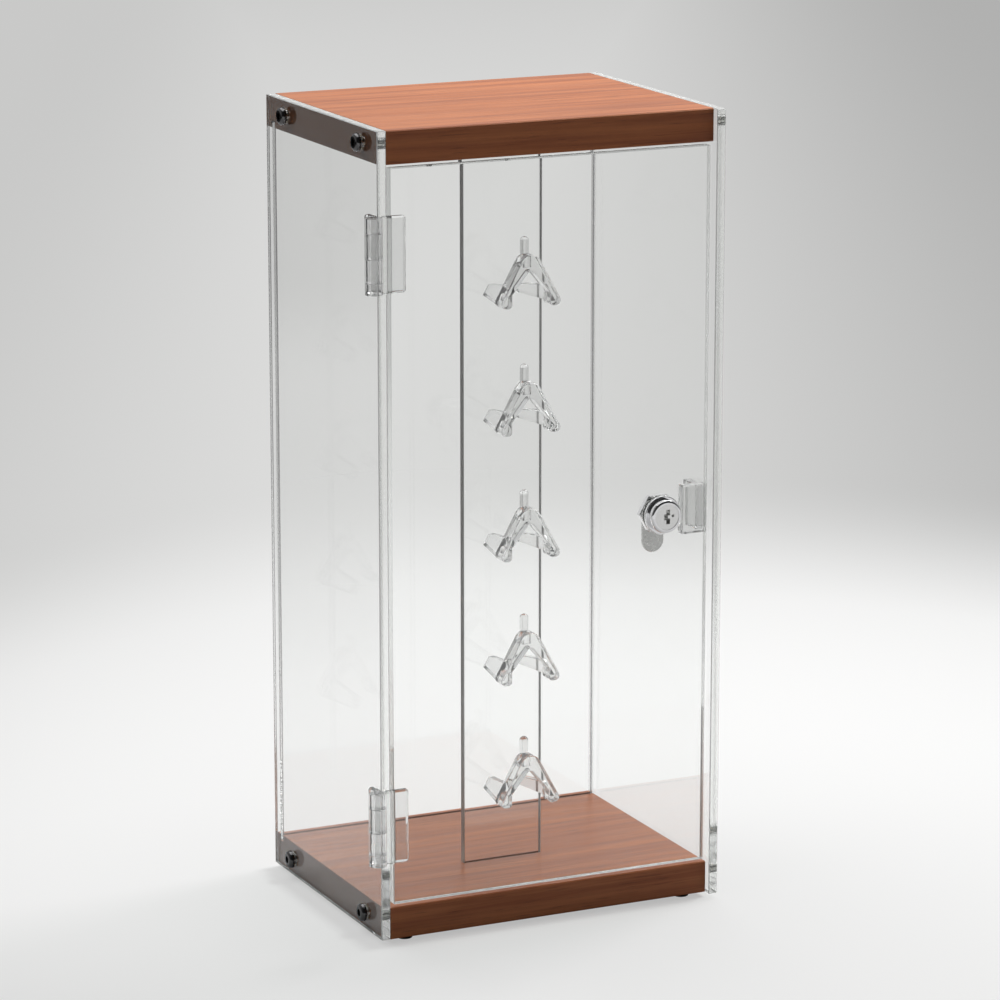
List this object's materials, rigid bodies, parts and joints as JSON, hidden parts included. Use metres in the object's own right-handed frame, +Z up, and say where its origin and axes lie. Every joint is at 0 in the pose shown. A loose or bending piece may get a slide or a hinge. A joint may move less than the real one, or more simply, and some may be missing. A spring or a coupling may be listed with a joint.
{
  "type": "countertop display case",
  "caption": "Upright countertop display case: veneered boards, clear acrylic walls, a hinged clear door with a cam lock, and an inner strip of nose-shaped eyewear holders.",
  "frame": {"origin": "on the table under the middle of the whole case, hinges and screw heads included", "axes": "+Z up, +X from the hinge side to the lock side, -Y towards the front door"},
  "size_m": [0.2254, 0.1694, 0.4675],
  "materials": {
    "walnut_veneer": "satin-lacquered walnut veneer on board",
    "clear_acrylic": "polished clear acrylic",
    "lock_chrome": "bright chrome plate",
    "lock_steel": "bright zinc plate",
    "black_nickel": "black nickel plate",
    "insert_brass": "turned brass",
    "foot_rubber": "matt black rubber"
  },
  "bodies": {
    "case": {"base_board": "walnut_veneer", "top_board": "walnut_veneer", "left_side_panel": "clear_acrylic", "right_side_panel": "clear_acrylic", "back_panel": "clear_acrylic", "holder_strip": "clear_acrylic", "nose_holder_1": "clear_acrylic", "nose_holder_2": "clear_acrylic", "nose_holder_3": "clear_acrylic", "nose_holder_4": "clear_acrylic", "nose_holder_5": "clear_acrylic", "left_panel_screws": "black_nickel", "right_panel_screws": "black_nickel", "left_panel_inserts": "insert_brass", "right_panel_inserts": "insert_brass", "foot_front_left": "foot_rubber", "foot_front_right": "foot_rubber", "foot_back_left": "foot_rubber", "foot_back_right": "foot_rubber", "upper_hinge_side_leaf": "clear_acrylic", "upper_hinge_pin": "clear_acrylic", "lower_hinge_side_leaf": "clear_acrylic", "lower_hinge_pin": "clear_acrylic", "strike_plate": "clear_acrylic", "strike_block": "clear_acrylic"},
    "door": {"door_panel": "clear_acrylic", "upper_hinge_door_leaf": "clear_acrylic", "lower_hinge_door_leaf": "clear_acrylic", "lock_housing": "lock_chrome", "lock_washer": "lock_steel", "lock_nut": "lock_chrome"},
    "lock": {"lock_plug": "lock_chrome", "lock_stop_washer": "lock_steel", "lock_cam": "lock_steel", "cam_washer": "lock_steel", "cam_screw": "lock_steel"}
  },
  "joints": [
    {"name": "door_swing", "type": "hinge", "parent": "case", "child": "door", "pos_m": [-0.10769, -0.07971, 0.235], "axis": [0, 0, -1], "range_deg": [0, 260]},
    {"name": "lock_turn", "type": "hinge", "parent": "door", "child": "lock", "pos_m": [0.07299, -0.07569, 0.2345], "axis": [0, -1, 0], "range_deg": [0, 90]}
  ]
}
